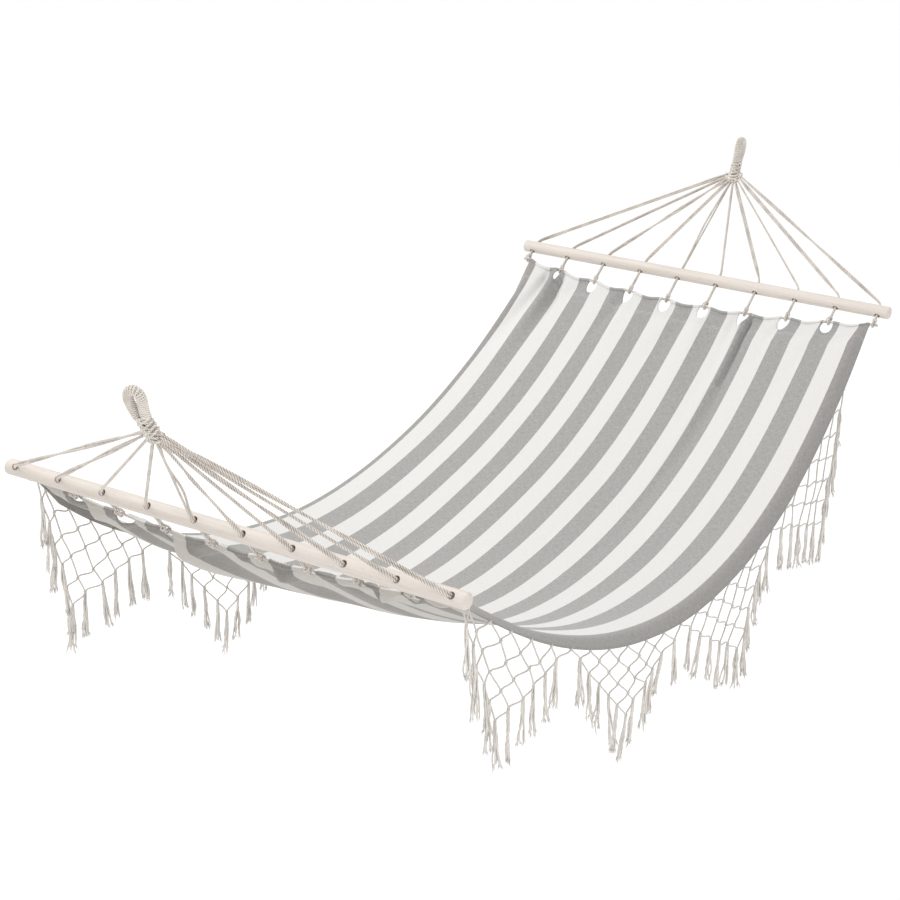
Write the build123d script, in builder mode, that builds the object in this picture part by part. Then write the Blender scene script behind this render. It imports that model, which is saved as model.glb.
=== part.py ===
from build123d import *
from math import acos, asinh, atan2, cos, cosh, degrees, hypot, pi, radians, sin, sinh, sqrt, tan
import os

# A striped cloth hammock on two wooden spreader bars, as it hangs between two hooks.
# +X runs from the foot eye to the head eye, +Y is the left side and +Z is up.
# The origin is the hook seat at the inside top of the head eye.

# Bars
BAR_LENGTH = 1000
BAR_RADIUS = 15
BAR_END_ROUND = 5
BAR_X = 950                 # bar axis, from the middle of the hammock
HOLE_COUNT = 10
HOLE_PITCH = 105
HOLE_RADIUS = 6
HOLE_RIM = 2                # how much wider the countersunk mouth is than the hole

# Cloth, hanging as a catenary between two straight end stretches
END_SLOPE = 36.5              # degrees below the horizontal, where the cloth leaves the bar
STRAIGHT_END = 150
CLOTH_THICK = 3
HALF_WIDTH_MID = 500
HALF_WIDTH_END = 465
HEM_GAP_SIDE = 42           # from the bar axis to the hem's rope, at the cloth's corners
HEM_GAP_MID = 84            # the same in the middle of the hem
NOTCH_WIDTH = 20
NOTCH_DEPTH = 32
SPLIT_GAP = 0.5             # between the head half and the foot half

# Rope
ROPE = 5
STRAND_STEP = 2.75          # from the middle of a doubled rope to the middle of each strand
BOLT_ROPE = 6
BOLT_FIT = 0.2
TURN_FIT = 0.8              # room for the hem's rope, which runs a little aslant
HEM_WALL = 1.4
BOLT_ROPE_END = 484
MOUTH = 21                  # from the bar axis to where a rope turns into its hole
MOUTH_BEND = 8
HOLE_EXIT = 17
KNOT_LENGTH = 8
KNOT_WALL = 1.8

# Throats and eyes
THROAT_X = 1120
THROAT_Z = 228              # above the bar axis
THROAT_RADIUS = 13.5
NECK_RADIUS = 7
ROPE_START = 17             # from the middle of the throat to each rope's first point
ROPE_START_ANGLES = (9, 28, 50, 72, 94)
EYE_LEAN = 22               # degrees outwards from the vertical
EYE_CORE = 7.2              # radius of the bundle of strands
SERVING_RADIUS = 8.5
LEG_SPREAD = 9
LEG_START = 18
EYE_BEND = 12
EYE_BEND_HEIGHT = 77.5
COLLAR_WALL = 1.6
COLLAR_TOP = 27
SERVING_START = 28.5
FIT = 0.1

# Fringe
MESH_COUNT = 24             # meshes along one side
MESH_PITCH = 76
MESH_SIDE = 50
MESHES_PER_POINT = 6
FRINGE_START = -995         # along the cloth from the middle of the sag, at the foot end
NET_THICK = 3
NET_DROP = 2.8
TASSEL_LENGTH = 98
TASSEL_RADIUS = 4

slope = radians(END_SLOPE)
lean = radians(EYE_LEAN)
mesh_angle = acos(MESH_PITCH / 2 / MESH_SIDE)
catenary_x = BAR_X - STRAIGHT_END * cos(slope)
catenary_a = catenary_x / asinh(tan(slope))
catenary_s = catenary_a * tan(slope)
sag = catenary_a * (1 / cos(slope) - 1) + STRAIGHT_END * sin(slope)
seat = EYE_BEND_HEIGHT + EYE_BEND - SERVING_RADIUS
seat_x = THROAT_X + seat * sin(lean)
seat_z = THROAT_Z + seat * cos(lean)
ends = {"foot": -1, "head": 1}
sides = {"left": 1, "right": -1}


def at(x, y, z):
    """A point measured from the middle of the hammock at the height of the bars."""
    return Vector(x - seat_x, y, z - seat_z)


side_view = Plane(origin=at(0, 0, 0), x_dir=(1, 0, 0), z_dir=(0, -1, 0))
plan_view = Plane(origin=at(0, 0, 0), x_dir=(1, 0, 0), z_dir=(0, 0, 1))


def hang(s):
    """Height profile of the cloth: x, z and slope angle at a length s from the middle."""
    if abs(s) > catenary_s:
        run = abs(s) - catenary_s
        sign = 1 if s > 0 else -1
        x = sign * (catenary_x + run * cos(slope))
        return x, -(STRAIGHT_END - run) * sin(slope), sign * slope
    x = catenary_a * asinh(s / catenary_a)
    return x, catenary_a * (cosh(x / catenary_a) - 1) - sag, atan2(s, catenary_a)


def half_width(x):
    """Half the cloth's width in plan, on the arc between its corners."""
    bow = HALF_WIDTH_MID - HALF_WIDTH_END
    return HALF_WIDTH_MID - bow * (x / (BAR_X - HEM_GAP_SIDE * cos(slope))) ** 2


def hem_gap(y):
    """Distance from the bar axis down the slope to the hem's rope."""
    radius = (HALF_WIDTH_END**2 / (HEM_GAP_MID - HEM_GAP_SIDE) + HEM_GAP_MID - HEM_GAP_SIDE) / 2
    return HEM_GAP_MID - radius + sqrt(radius**2 - y**2)


def hole_y(index):
    """Where a rope's hole is along the bar, from the left end to the right."""
    return ((HOLE_COUNT - 1) / 2 - index) * HOLE_PITCH


def hem_plane(end):
    """The plane of the cloth's straight end: x runs down the cloth from the bar axis."""
    return Plane(
        origin=at(end * BAR_X, 0, 0),
        x_dir=(-end * cos(slope), 0, -sin(slope)),
        z_dir=(-end * sin(slope), 0, cos(slope)),
    )


def eye_plane(end, plane_of_loop):
    """The plane of an eye: y runs up its middle and the origin is the throat."""
    up = Vector(end * sin(lean), 0, cos(lean))
    across = Vector(0, 1, 0) if plane_of_loop == "across" else Vector(cos(lean), 0, -end * sin(lean))
    return Plane(origin=at(end * THROAT_X, 0, THROAT_Z), x_dir=across, z_dir=across.cross(up))


def save(name, builder):
    builder.part.label = name
    export_step(builder.part, f"parts/{name}.step")


def spreader_bar(end):
    with BuildPart(hem_plane(end)) as bar:
        Cylinder(BAR_RADIUS, BAR_LENGTH, rotation=(90, 0, 0))
        fillet(bar.edges().filter_by(GeomType.CIRCLE), BAR_END_ROUND)
    across_hole = hem_plane(end).rotated((0, 90, 0))
    with BuildPart(across_hole) as holes:
        with GridLocations(0, HOLE_PITCH, 1, HOLE_COUNT):
            Cylinder(HOLE_RADIUS, 2.4 * BAR_RADIUS)
            with Locations((0, 0, BAR_RADIUS - HOLE_RIM / 2), Location((0, 0, HOLE_RIM / 2 - BAR_RADIUS), (180, 0, 0))):
                Cone(HOLE_RADIUS - HOLE_RIM / 2, HOLE_RADIUS + HOLE_RIM, 3 * HOLE_RIM / 2)
    with BuildPart() as drilled:
        add(bar.part)
        add(holes.part, mode=Mode.SUBTRACT)
    return drilled


def rope_route(end, index):
    """Route of a doubled rope: throat, hole, round the hem's rope, and back."""
    y = hole_y(index)
    across = Vector(0, 1, 0)
    throat = at(end * THROAT_X, 0, THROAT_Z)
    bar = at(end * BAR_X, 0, 0)
    fan = (bar - throat).normalized()
    fan_normal = Vector(-end * abs(fan.Z), 0, abs(fan.X))
    down = Vector(-end * cos(slope), 0, -sin(slope))
    normal = Vector(-end * sin(slope), 0, cos(slope))
    rank = int(abs(y) / HOLE_PITCH)
    angle = radians(ROPE_START_ANGLES[rank])
    start = throat + fan * (ROPE_START * cos(angle)) + across * (ROPE_START * sin(angle) * (1 if y > 0 else -1))
    hole = bar + across * y
    turn = (BOLT_ROPE + ROPE) / 2 + TURN_FIT
    low = hole + down * (hem_gap(y) + turn)
    leg = [
        (start, fan_normal * STRAND_STEP),
        (hole - down * MOUTH, normal * STRAND_STEP),
        (hole + down * HOLE_EXIT, normal * STRAND_STEP),
        (low, normal * turn),
    ]
    return [point + shift for point, shift in leg] + [point - shift for point, shift in reversed(leg)]


def bend_radii(route):
    """The largest bend that each corner's runs allow, and the hole's own rim where it turns in."""
    radii = []
    for before, corner, after in zip(route, route[1:], route[2:]):
        turn = radians((corner - before).get_angle(after - corner))
        shorter = min((corner - before).length, (after - corner).length)
        radii.append(0.45 * shorter / tan(turn / 2))
    radii[0] = MOUTH_BEND
    radii[-1] = MOUTH_BEND
    return radii


def rope(end, index):
    route = rope_route(end, index)
    radii = bend_radii(route)
    with BuildPart() as strand:
        with BuildLine() as path:
            FilletPolyline(*route, radius=radii)
        with BuildSketch(Plane(origin=route[0], z_dir=path.line @ 0.001 - path.line @ 0)):
            Circle(ROPE / 2)
        sweep(path=path.line)
    length = sum(edge.length for edge in path.edges())
    by_volume = strand.part.volume / (pi * ROPE**2 / 4)
    print(f"rope {index + 1}: length {length:.0f}, volume gives {by_volume:.0f},",
          "radii", [round(radius, 1) for radius in radii])
    return strand


def hitch_knots(end):
    """The turns that draw each doubled rope together above the hem's rope."""
    plane = hem_plane(end)
    leg = (BOLT_ROPE + ROPE) / 2 + TURN_FIT + ROPE / 2
    with BuildPart() as knots:
        for index in range(HOLE_COUNT):
            y = hole_y(index)
            middle = plane.from_local_coords((hem_gap(y) - (BOLT_ROPE + KNOT_LENGTH), y, 0))
            with BuildSketch(Plane(origin=middle, x_dir=plane.z_dir, z_dir=plane.x_dir)):
                SlotOverall(2 * leg + 2 * KNOT_WALL, ROPE + 2 * KNOT_WALL + 1)
                SlotOverall(2 * leg, ROPE + 1, mode=Mode.SUBTRACT)
            extrude(amount=KNOT_LENGTH / 2, both=True)
    return knots


def bolt_rope_path(half_length):
    return ThreePointArc(
        (hem_gap(half_length), -half_length), (HEM_GAP_MID, 0), (hem_gap(half_length), half_length)
    )


def bolt_rope(end, half_length, radius):
    """The rope in the hem, or the round space that it needs."""
    with BuildPart() as body:
        with BuildLine(hem_plane(end)) as path:
            bolt_rope_path(half_length)
        with BuildSketch(Plane(origin=path.line @ 0, z_dir=path.line % 0)):
            Circle(radius)
        sweep(path=path.line)
    return body


def bed_cloth(end):
    split = hang(FRINGE_START + MESH_COUNT / 2 * MESH_PITCH)[0] + end * SPLIT_GAP / 2
    hem_middle = BAR_X - HEM_GAP_MID * cos(slope)
    hem_corner = BAR_X - HEM_GAP_SIDE * cos(slope)
    sleeve = bolt_rope(end, HALF_WIDTH_END, BOLT_ROPE / 2 + BOLT_FIT + HEM_WALL)
    channel = bolt_rope(end, BOLT_ROPE_END, BOLT_ROPE / 2 + BOLT_FIT)
    with BuildPart() as cloth:
        with BuildSketch(side_view):
            with BuildLine():
                curves = []
                for shift in (CLOTH_THICK / 2, -CLOTH_THICK / 2):
                    knots = [hang(end * catenary_s * step / 6) for step in range(-2, 7)]
                    spline = Spline(*[(x - shift * sin(a), z + shift * cos(a)) for x, z, a in knots])
                    x, z, angle = hang(end * (catenary_s + STRAIGHT_END))
                    tip = (x - shift * sin(angle), z + shift * cos(angle))
                    straight = Line(spline @ 1, tip)
                    curves.append((spline @ 0, straight @ 1))
                Line(curves[0][0], curves[1][0])
                Line(curves[0][1], curves[1][1])
            make_face()
        extrude(amount=HALF_WIDTH_MID, both=True)
        with BuildSketch(plan_view.offset(-sag - HALF_WIDTH_MID)):
            with BuildLine():
                for side in sides.values():
                    Spline([(x, side * half_width(x)) for x in (split, end * hem_corner / 2, end * hem_corner)])
                ThreePointArc(
                    (end * hem_corner, HALF_WIDTH_END), (end * hem_middle, 0), (end * hem_corner, -HALF_WIDTH_END)
                )
                Line((split, half_width(split)), (split, -half_width(split)))
            make_face()
        extrude(amount=sag + 2 * HALF_WIDTH_MID, mode=Mode.INTERSECT)
        add(sleeve.part)
        add(channel.part, mode=Mode.SUBTRACT)
        with BuildSketch(hem_plane(end)):
            for index in range(1, HOLE_COUNT - 1):
                y = hole_y(index)
                with Locations((hem_gap(y) + NOTCH_DEPTH / 4, y)):
                    Ellipse(3 * NOTCH_DEPTH / 4, NOTCH_WIDTH / 2)
        extrude(amount=3 * BOLT_ROPE, both=True, mode=Mode.SUBTRACT)
    return cloth


def net_points(first):
    """Attachment points, tip and outer knots of one pointed part of the net."""
    tops = [hang(FRINGE_START + MESH_PITCH * (first + step)) for step in range(MESHES_PER_POINT + 1)]
    tilt = sum(angle for _, _, angle in tops) / len(tops)
    uphill = tops[-1] if tilt > 0 else tops[0]
    steep = mesh_angle + 0.7 * abs(tilt)
    reach = MESHES_PER_POINT * MESH_SIDE
    toward = -1 if tilt > 0 else 1
    tip = (uphill[0] + toward * reach * cos(steep), uphill[1] - reach * sin(steep))
    knots = []
    for corner in (tops[0], tops[-1]):
        for row in range(1, MESHES_PER_POINT):
            part = row / MESHES_PER_POINT
            knots.append((corner[0] + (tip[0] - corner[0]) * part, corner[1] + (tip[1] - corner[1]) * part))
    return tops, tip, knots + [tip]


def points_on(end):
    """First mesh of each pointed part on this half."""
    half = MESH_COUNT // 2
    return range(0, half, MESHES_PER_POINT) if end < 0 else range(half, MESH_COUNT, MESHES_PER_POINT)


def net(end, side):
    with BuildPart() as body:
        for first in points_on(end):
            tops, tip, _ = net_points(first)
            edge = [(x, z - NET_DROP / cos(angle)) for x, z, angle in tops]
            inset = -end * SPLIT_GAP if first in (MESH_COUNT // 2 - MESHES_PER_POINT, MESH_COUNT // 2) else 0
            edge[-1 if end < 0 else 0] = (edge[-1 if end < 0 else 0][0] - inset, edge[-1 if end < 0 else 0][1])
            with BuildSketch(side_view):
                Polygon(*edge, tip, align=None)
            extrude(amount=2 * HALF_WIDTH_MID, both=True)
        with BuildSketch(plan_view.offset(-2 * HALF_WIDTH_MID)):
            with BuildLine():
                xs = (-BAR_X, 0, BAR_X)
                outer = Spline([(x, side * half_width(x)) for x in xs])
                inner = Spline([(x, side * (half_width(x) - NET_THICK)) for x in xs])
                Line(outer @ 0, inner @ 0)
                Line(outer @ 1, inner @ 1)
            make_face()
        extrude(amount=4 * HALF_WIDTH_MID, mode=Mode.INTERSECT)
    return body


def tassels(end, side):
    with BuildPart() as group:
        for first in points_on(end):
            for x, z in net_points(first)[2]:
                with Locations(at(x, side * (half_width(x) + TASSEL_RADIUS + 1), z)):
                    Cylinder(TASSEL_RADIUS, TASSEL_LENGTH, align=(Align.CENTER, Align.CENTER, Align.MAX))
    return group


def eye_path(plane, start):
    """Up one leg, round the top bend and down the other leg."""
    reach = hypot(LEG_SPREAD, EYE_BEND_HEIGHT - LEG_START)
    touch = acos(EYE_BEND / reach) + atan2(LEG_START - EYE_BEND_HEIGHT, LEG_SPREAD)
    bend_x = EYE_BEND * cos(touch)
    bend_y = EYE_BEND_HEIGHT + EYE_BEND * sin(touch)
    part = (start - LEG_START) / (bend_y - LEG_START)
    foot_x = LEG_SPREAD + (bend_x - LEG_SPREAD) * part
    with BuildLine(plane) as path:
        Line((-foot_x, start), (-bend_x, bend_y))
        ThreePointArc((-bend_x, bend_y), (0, EYE_BEND_HEIGHT + EYE_BEND), (bend_x, bend_y))
        Line((bend_x, bend_y), (foot_x, start))
    return path


def eye_piece(plane, start, outer, inner=0):
    path = eye_path(plane, start)
    with BuildPart() as body:
        with BuildSketch(Plane(origin=path.line @ 0, z_dir=path.line % 0)):
            Circle(outer)
            if inner:
                Circle(inner, mode=Mode.SUBTRACT)
        sweep(path=path.line)
    return body


def throat_binding(plane):
    """The knot under the eye that the ropes leave, and the collar that holds the eye's legs."""
    up_plane = Plane(origin=plane.origin, x_dir=plane.x_dir, z_dir=plane.y_dir)
    core = EYE_CORE + FIT
    with BuildPart(up_plane) as binding:
        Sphere(THROAT_RADIUS)
        Cylinder(NECK_RADIUS, LEG_START, align=(Align.CENTER, Align.CENTER, Align.MIN))
        with BuildSketch(up_plane.offset(LEG_START - FIT)):
            SlotOverall(2 * (LEG_SPREAD + core + COLLAR_WALL), 2 * (core + COLLAR_WALL))
        extrude(amount=COLLAR_TOP - LEG_START)
        with Locations(*eye_leg_locations(up_plane)):
            Cylinder(core, 2 * COLLAR_TOP, align=(Align.CENTER, Align.CENTER, Align.MIN), mode=Mode.SUBTRACT)
    return binding


def eye_leg_locations(up_plane):
    """Local places of the two legs where they enter the collar, along their own lines."""
    reach = hypot(LEG_SPREAD, EYE_BEND_HEIGHT - LEG_START)
    touch = acos(EYE_BEND / reach) + atan2(LEG_START - EYE_BEND_HEIGHT, LEG_SPREAD)
    splay = degrees(touch)
    return [Location((side * LEG_SPREAD, 0, LEG_START), (0, -side * splay, 0)) for side in (-1, 1)]


os.makedirs("parts", exist_ok=True)
for end_name, end in ends.items():
    plane = eye_plane(end, "across" if end_name == "foot" else "along")
    save(f"{end_name}_eye", eye_piece(plane, LEG_START, EYE_CORE))
    save(f"{end_name}_eye_serving", eye_piece(plane, SERVING_START, SERVING_RADIUS, EYE_CORE + FIT))
    save(f"{end_name}_throat_binding", throat_binding(plane))
    save(f"{end_name}_spreader_bar", spreader_bar(end))
    for index in range(HOLE_COUNT):
        save(f"{end_name}_rope_{index + 1}", rope(end, index))
    save(f"{end_name}_hitch_knots", hitch_knots(end))
    save(f"{end_name}_bolt_rope", bolt_rope(end, BOLT_ROPE_END, BOLT_ROPE / 2))
    save(f"bed_cloth_{end_name}", bed_cloth(end))
    for side_name, side in sides.items():
        save(f"{side_name}_net_{end_name}", net(end, side))
        save(f"{side_name}_tassels_{end_name}", tassels(end, side))
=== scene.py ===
from math import acos, asinh, cos, hypot, pi, radians, sin, sqrt, tan

import bpy
import numpy as np
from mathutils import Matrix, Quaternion, Vector, geometry, noise


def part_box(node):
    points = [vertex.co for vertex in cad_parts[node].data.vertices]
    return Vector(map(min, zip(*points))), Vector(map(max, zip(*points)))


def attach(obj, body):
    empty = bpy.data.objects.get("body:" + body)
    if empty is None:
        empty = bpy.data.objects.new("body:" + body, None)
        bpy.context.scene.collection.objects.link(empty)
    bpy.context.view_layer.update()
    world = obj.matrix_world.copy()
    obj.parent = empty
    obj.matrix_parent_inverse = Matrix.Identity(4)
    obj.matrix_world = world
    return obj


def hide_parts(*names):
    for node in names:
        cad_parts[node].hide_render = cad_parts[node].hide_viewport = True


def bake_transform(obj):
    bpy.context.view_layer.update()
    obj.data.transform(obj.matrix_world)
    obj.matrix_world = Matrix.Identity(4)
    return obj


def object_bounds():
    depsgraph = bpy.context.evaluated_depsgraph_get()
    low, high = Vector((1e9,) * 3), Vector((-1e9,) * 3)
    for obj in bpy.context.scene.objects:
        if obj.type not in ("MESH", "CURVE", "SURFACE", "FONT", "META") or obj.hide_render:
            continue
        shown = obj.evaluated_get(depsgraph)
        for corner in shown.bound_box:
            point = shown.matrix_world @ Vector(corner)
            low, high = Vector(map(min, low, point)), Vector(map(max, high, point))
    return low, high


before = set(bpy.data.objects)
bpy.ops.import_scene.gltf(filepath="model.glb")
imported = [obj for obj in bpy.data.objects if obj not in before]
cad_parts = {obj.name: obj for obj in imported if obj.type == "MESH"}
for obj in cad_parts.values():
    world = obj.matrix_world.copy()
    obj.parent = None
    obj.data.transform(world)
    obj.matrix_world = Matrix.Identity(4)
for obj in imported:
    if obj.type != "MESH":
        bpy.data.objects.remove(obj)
cad_low, cad_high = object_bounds()
bpy.ops.object.select_all(action="DESELECT")

# ---- Camera ----
# It stands outside the foot end, a little above the bars, and looks along the bed at the head end.
# Everything is placed from the middle of the hammock at the height of the bars' axes.
bar_boxes = [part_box(f"{end}_spreader_bar") for end in ("foot", "head")]
bar_middles = [(low + high) / 2 for low, high in bar_boxes]
middle = (bar_middles[0] + bar_middles[1]) / 2
bar_x = (bar_middles[1].x - bar_middles[0].x) / 2

camera_data = bpy.data.cameras.new("camera")
camera_data.lens = 77.33
camera_data.sensor_width = 36.0
camera_data.clip_end = 60.0
camera = bpy.data.objects.new("camera", camera_data)
camera.location = middle + Vector((-3.3345, -1.9315, 1.3523))
look_along = Vector((0.79159, 0.48951, -0.36575))
camera.rotation_mode = "QUATERNION"
level_view = look_along.to_track_quat("-Z", "Y")
camera.rotation_quaternion = Quaternion(look_along, radians(-1.4)) @ level_view
bpy.context.scene.collection.objects.link(camera)
bpy.context.scene.camera = camera

# ---- Suspension ropes ----
# Ten laid cotton ropes at each end, 5 mm thick. Each one is doubled: it comes from the throat, goes through
# its hole in the bar, round the rope in the cloth's hem and back. Most pairs of legs run side by side.
MM = 0.001
end_slope = radians(36.5)       # of the cloth where it leaves the bar
hole_pitch = 105 * MM
hole_count = 10
hem_gap_side, hem_gap_mid = 42 * MM, 84 * MM
half_width_end, half_width_mid = 465 * MM, 500 * MM
rope_thick = 5 * MM
bolt_rope_thick = 6 * MM
leg_apart = 2.4 * MM            # from the middle of a pair to the middle of each leg
hem_turn = 6.3 * MM             # half the width of the turn round the hem's rope
hole_entry, hole_exit = 21 * MM, 17 * MM
throat_x, throat_z = 1120 * MM, 228 * MM
rope_start = 17 * MM            # the ropes leave the throat this far from its middle,
rope_start_angles = (9, 28, 50, 72, 94)     # at these angles from straight down, the middle ones first
# Rope cotton: the colour of the plies' tops, and painted shade for the grooves between them
cotton_light = (0.69, 0.64, 0.585, 1.0)
cotton_shade = (0.24, 0.205, 0.175, 1.0)


def at(x, y, z):
    """A point measured from the middle of the hammock at the height of the bars."""
    return middle + Vector((x, y, z))


def hole_y(index):
    return ((hole_count - 1) / 2 - index) * hole_pitch


def hem_gap(y):
    """Distance from the bar's axis down the slope to the hem's rope."""
    rise = hem_gap_mid - hem_gap_side
    radius = (half_width_end**2 / rise + rise) / 2
    return hem_gap_mid - radius + np.sqrt(radius**2 - y**2)


def slope_directions(end):
    """Down the cloth from the bar, and up out of the cloth."""
    down = Vector((-end * cos(end_slope), 0, -sin(end_slope)))
    return down, Vector((-end * sin(end_slope), 0, cos(end_slope)))


def foot_sag(x, y):
    """How much lower the foot end hangs than the plain curve: it bellies between its corners, mostly left."""
    inwards = np.clip(x + bar_x, 0, None)
    near = 0.08 * (1 - np.exp(-inwards / 0.03)) + 0.92 * (1 - np.exp(-((inwards / 0.25) ** 2)))
    fade = np.clip((1.25 - inwards) / 0.8, 0, 1)
    between = np.clip(1 - (np.abs(y) / half_width_mid) ** 2, 0, 1) ** np.where(y > 0, 0.7, 2.2)
    left_belly = np.exp(-(((y - 0.2) / 0.15) ** 2))
    return (46 * between + 26 * left_belly) * MM * near * fade**2 * (3 - 2 * fade)


def foot_tuck(x, y):
    """How much nearer to its bar the foot hem is drawn up than the plain curve, fading out down the bed."""
    inwards = np.clip(x + bar_x, 0, None)
    between = np.clip(1 - (np.abs(y) / half_width_mid) ** 2, 0, 1) ** 0.7
    return 32 * MM * between * (1 - np.exp(-inwards / 0.03)) * np.exp(-((inwards / 0.25) ** 2))


def rope_route(end, index):
    """The doubled rope's points: throat, hole, round the hem's rope and back."""
    y = hole_y(index)
    throat, bar = at(end * throat_x, 0, throat_z), at(end * bar_x, 0, 0)
    fan = (bar - throat).normalized()
    fan_normal = Vector((-end * abs(fan.z), 0, abs(fan.x)))
    down, normal = slope_directions(end)
    angle = radians(rope_start_angles[int(abs(y) / hole_pitch)])
    side = 1 if y > 0 else -1
    start = throat + fan * rope_start * cos(angle) + Vector((0, side * rope_start * sin(angle), 0))
    hole = bar + Vector((0, y, 0))
    enter = hole - down * hole_entry
    low = hole + down * (hem_gap(y) + hem_turn)
    held = enter + (start - enter).normalized() * 6 * rope_thick
    leg = [
        (start, fan_normal * leg_apart),
        (held, normal * leg_apart),
        (enter, normal * leg_apart),
        (hole + down * hole_exit, normal * leg_apart),
        (low - down * (2 * hem_turn + 7 * MM), normal * leg_apart),
        (low - down * (2 * hem_turn - 1 * MM), normal * hem_turn),
        (low, normal * hem_turn),
    ]
    points = [point + shift for point, shift in leg] + [point - shift for point, shift in reversed(leg)]
    for point in points:
        if end < 0:
            drop, tuck = foot_sag(point.x - middle.x, point.y), foot_tuck(point.x - middle.x, point.y)
            point.z -= drop
            point.x -= tuck
    return points


def smooth_line(points):
    """The points of a NURBS curve that has these as its control points."""
    curve = bpy.data.curves.new("route", "CURVE")
    curve.dimensions = "3D"
    curve.resolution_u = 24
    spline = curve.splines.new("NURBS")
    spline.points.add(len(points) - 1)
    for control, point in zip(spline.points, points):
        control.co = (*point, 1.0)
    spline.order_u = 3
    spline.use_endpoint_u = True
    holder = bpy.data.objects.new("route", curve)
    mesh = bpy.data.meshes.new_from_object(holder)
    line = np.array([vertex.co for vertex in mesh.vertices], float)
    bpy.data.objects.remove(holder)
    bpy.data.curves.remove(curve)
    bpy.data.meshes.remove(mesh)
    return line


def evenly(line, step):
    """The same line with its points about a step apart."""
    along = np.concatenate([[0], np.cumsum(np.linalg.norm(np.diff(line, axis=0), axis=1))])
    places = np.linspace(0, along[-1], max(3, int(round(along[-1] / step)) + 1))
    return np.stack([np.interp(places, along, line[:, axis]) for axis in range(3)], axis=1)


def unit(vectors):
    return vectors / np.maximum(np.linalg.norm(vectors, axis=-1, keepdims=True), 1e-12)


def carried_frames(lines):
    """Directions along and across lines of points, carried along each line without turning about it."""
    tangent = unit(np.gradient(lines, axis=-2))
    across = np.empty_like(lines)
    start = tangent[..., 0, :]
    upright = np.abs(start[..., 2:3]) > 0.9
    across[..., 0, :] = unit(np.cross(start, np.where(upright, [1.0, 0, 0], [0, 0, 1.0])))
    for step in range(1, lines.shape[-2]):
        t = tangent[..., step, :]
        before = across[..., step - 1, :]
        across[..., step, :] = unit(before - (before * t).sum(-1, keepdims=True) * t)
    return tangent, across, np.cross(tangent, across)


def laid_cords(lines, radius, sides=9, plies=3, lay=0.018, groove=0.24, taper=None):
    """Twisted cords along lines that all have the same number of points: corners, faces and UVs.
    U goes once round a cord and V is the length along it in metres."""
    lines = np.asarray(lines, float)
    lines = lines[None] if lines.ndim == 2 else lines
    cords, rings = lines.shape[:2]
    steps = np.linalg.norm(np.diff(lines, axis=1), axis=2)
    along = np.concatenate([np.zeros((cords, 1)), np.cumsum(steps, axis=1)], axis=1)
    _, across, over = carried_frames(lines)
    turn = np.arange(sides) / sides
    ply = np.cos(2 * pi * plies * (turn - along[..., None] / lay))
    size = radius * (1 - groove / 2 + groove / 2 * ply)
    if taper is not None:
        size = size * np.asarray(taper)[..., :, None]
    round_x, round_y = np.cos(2 * pi * turn)[:, None], np.sin(2 * pi * turn)[:, None]
    around = round_x * across[:, :, None] + round_y * over[:, :, None]
    corners = lines[:, :, None] + size[..., None] * around
    caps = lines[:, [0, -1]]
    count = rings * sides
    corners = np.concatenate([corners.reshape(cords, count, 3), caps], axis=1)
    ring, side = np.meshgrid(np.arange(rings - 1), np.arange(sides), indexing="ij")
    ring, side = ring.ravel(), side.ravel()
    after = (side + 1) % sides
    here, beyond = ring * sides, (ring + 1) * sides
    quads = np.stack([here + side, here + after, beyond + after, beyond + side], 1)
    first_ring = np.arange(sides)
    near = np.stack([np.full(sides, count), (first_ring + 1) % sides, first_ring], 1)
    last = (rings - 1) * sides
    far = np.stack([np.full(sides, count + 1), last + first_ring, last + (first_ring + 1) % sides], 1)
    quad_u = np.stack([side, side + 1, side + 1, side], 1) / sides
    quad_v = np.stack([along[:, ring], along[:, ring], along[:, ring + 1], along[:, ring + 1]], 2)
    shift = np.arange(cords)[:, None, None] * (count + 2)
    cap_v = np.stack([np.zeros(cords), along[:, -1]], 1)
    return {
        "corners": corners.reshape(-1, 3),
        "quads": (quads[None] + shift).reshape(-1, 4),
        "triangles": (np.concatenate([near, far])[None] + shift).reshape(-1, 3),
        "quad_uv": np.stack([np.broadcast_to(quad_u, quad_v.shape), quad_v], -1).reshape(-1, 2),
        "triangle_uv": np.stack(
            [np.full((cords, 2 * sides * 3), 0.5), np.repeat(cap_v, sides * 3, axis=1)], -1
        ).reshape(-1, 2),
    }


def mesh_piece(name, groups, material):
    """One smooth-shaded mesh object from groups of corners, faces and UVs."""
    start, corners, quads, triangles = 0, [], [], []
    for group in groups:
        corners.append(group["corners"])
        quads.append(group["quads"] + start)
        triangles.append(group["triangles"] + start)
        start += len(group["corners"])
    quads, triangles = np.concatenate(quads), np.concatenate(triangles)
    mesh = bpy.data.meshes.new(name)
    mesh.from_pydata(np.concatenate(corners).tolist(), [], quads.tolist() + triangles.tolist())
    uv = [group["quad_uv"] for group in groups] + [group["triangle_uv"] for group in groups]
    layer = mesh.uv_layers.new(name="UVMap")
    layer.data.foreach_set("uv", np.concatenate(uv).astype(np.float32).ravel())
    mesh.polygons.foreach_set("use_smooth", np.ones(len(mesh.polygons), bool))
    mesh.materials.append(material)
    mesh.validate()
    piece = bpy.data.objects.new(name, mesh)
    bpy.context.scene.collection.objects.link(piece)
    return piece


def add_node(tree, kind, links=(), **values):
    """A node with its properties and inputs set, and its inputs linked to other nodes' outputs."""
    node = tree.nodes.new(kind)
    for key, value in values.items():
        if hasattr(node, key):
            setattr(node, key, value)
        else:
            node.inputs[key.replace("_", " ")].default_value = value
    for socket, source in dict(links).items():
        tree.links.new(source, node.inputs[socket])
    return node


def math_node(tree, operation, first, second=None):
    """One Math node; a number is set on its socket and anything else is linked to it."""
    node = tree.nodes.new("ShaderNodeMath")
    node.operation = operation
    for socket, value in zip(node.inputs, (first, second)):
        if isinstance(value, (int, float)):
            socket.default_value = value
        elif value is not None:
            tree.links.new(value, socket)
    return node.outputs[0]


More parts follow.
